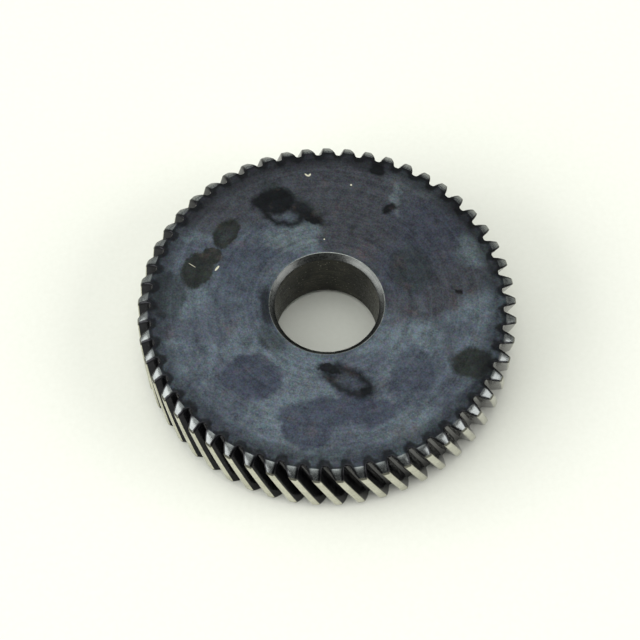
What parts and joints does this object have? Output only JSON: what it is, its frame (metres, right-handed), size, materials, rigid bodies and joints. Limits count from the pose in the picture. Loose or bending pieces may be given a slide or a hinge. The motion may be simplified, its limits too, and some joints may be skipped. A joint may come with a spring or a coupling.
{
  "type": "helical gear",
  "caption": "Flat cylindrical gear with a fine left-hand helical tooth ring, bevelled tooth ends and a plain chamfered through bore.",
  "frame": {"origin": "centre of the bore in the plane of the lower flat face", "axes": "+Z along the bore axis, from the lower face to the upper face; +X through the middle of one tooth in the plane z = 0"},
  "size_m": [0.0435, 0.0435, 0.0085],
  "materials": {
    "blackened_steel": "turned and hobbed, heat-treated and blackened blue-grey with darker oil and heat stains; tooth lands and bore chamfer worn to bright metal"
  },
  "bodies": {
    "root": {"helical_gear": "blackened_steel"}
  },
  "joints": []
}
